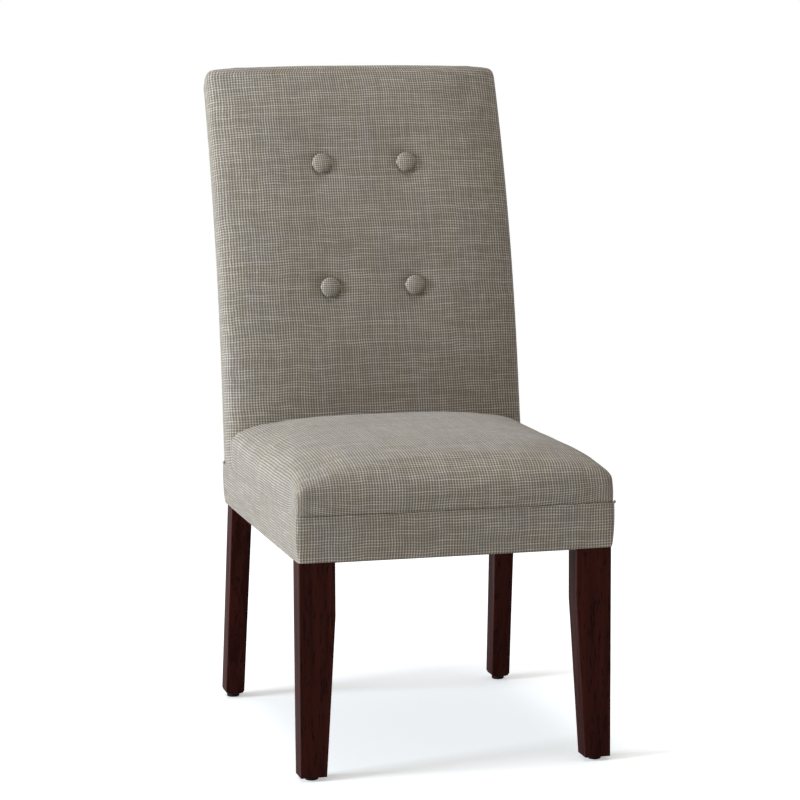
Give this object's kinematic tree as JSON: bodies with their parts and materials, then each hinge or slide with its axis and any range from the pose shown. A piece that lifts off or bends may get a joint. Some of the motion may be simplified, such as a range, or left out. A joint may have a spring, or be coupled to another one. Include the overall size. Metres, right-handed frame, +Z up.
{
  "type": "parsons dining chair",
  "caption": "Armless upholstered dining chair with a tall button-tufted back, padded seat over a cloth-covered box and square tapered dark wooden legs.",
  "frame": {"origin": "on the floor, under the middle of the chair's outline", "axes": "+X to the right of a viewer who looks at the chair's front, -Y towards the front, +Z up"},
  "size_m": [0.487, 0.6935, 1.0295],
  "materials": {
    "stained_wood": "dark brown stain under a thin satin lacquer",
    "frame_wood": "bare planed hardwood",
    "dowel_wood": "bare turned beech",
    "glide": "dark moulded nylon",
    "screw_steel": "zinc plated",
    "anchor_steel": "plain stamped steel",
    "webbing": "woven jute strap",
    "lining": "plain woven cotton and board",
    "foam": "open-cell cushion foam",
    "wadding": "soft polyester fleece",
    "upholstery_fabric": "taupe-grey small-check linen weave",
    "dust_cloth": "black spun cloth",
    "twine": "waxed twine"
  },
  "bodies": {
    "root": {"back_foam": "foam", "back_lower_rail": "frame_wood", "back_padding": "wadding", "back_rail_dowels": "dowel_wood", "back_top_rail": "frame_wood", "back_webbing_horizontal": "webbing", "back_webbing_vertical": "webbing", "button_anchors": "anchor_steel", "button_twines": "twine", "corner_block_screws": "screw_steel", "dust_cover": "dust_cloth", "front_left_corner_block": "frame_wood", "front_left_glide": "glide", "front_leg_left": "stained_wood", "front_leg_right": "stained_wood", "front_right_corner_block": "frame_wood", "front_right_glide": "glide", "front_seat_rail": "frame_wood", "inside_back_cover": "upholstery_fabric", "left_seat_rail": "frame_wood", "outside_back_cover": "upholstery_fabric", "outside_back_lining": "lining", "outside_back_wadding": "wadding", "rear_left_corner_block": "frame_wood", "rear_left_glide": "glide", "rear_post_left": "stained_wood", "rear_post_right": "stained_wood", "rear_rail_screws": "screw_steel", "rear_right_corner_block": "frame_wood", "rear_right_glide": "glide", "rear_seat_rail": "frame_wood", "right_seat_rail": "frame_wood", "seat_band": "upholstery_fabric", "seat_cover": "upholstery_fabric", "seat_foam": "foam", "seat_lining": "lining", "seat_rail_dowels": "dowel_wood", "seat_wadding": "wadding", "seat_webbing_crosswise": "webbing", "seat_webbing_lengthwise": "webbing", "tufting_button_lower_left": "upholstery_fabric", "tufting_button_lower_right": "upholstery_fabric", "tufting_button_upper_left": "upholstery_fabric", "tufting_button_upper_right": "upholstery_fabric"}
  },
  "joints": []
}
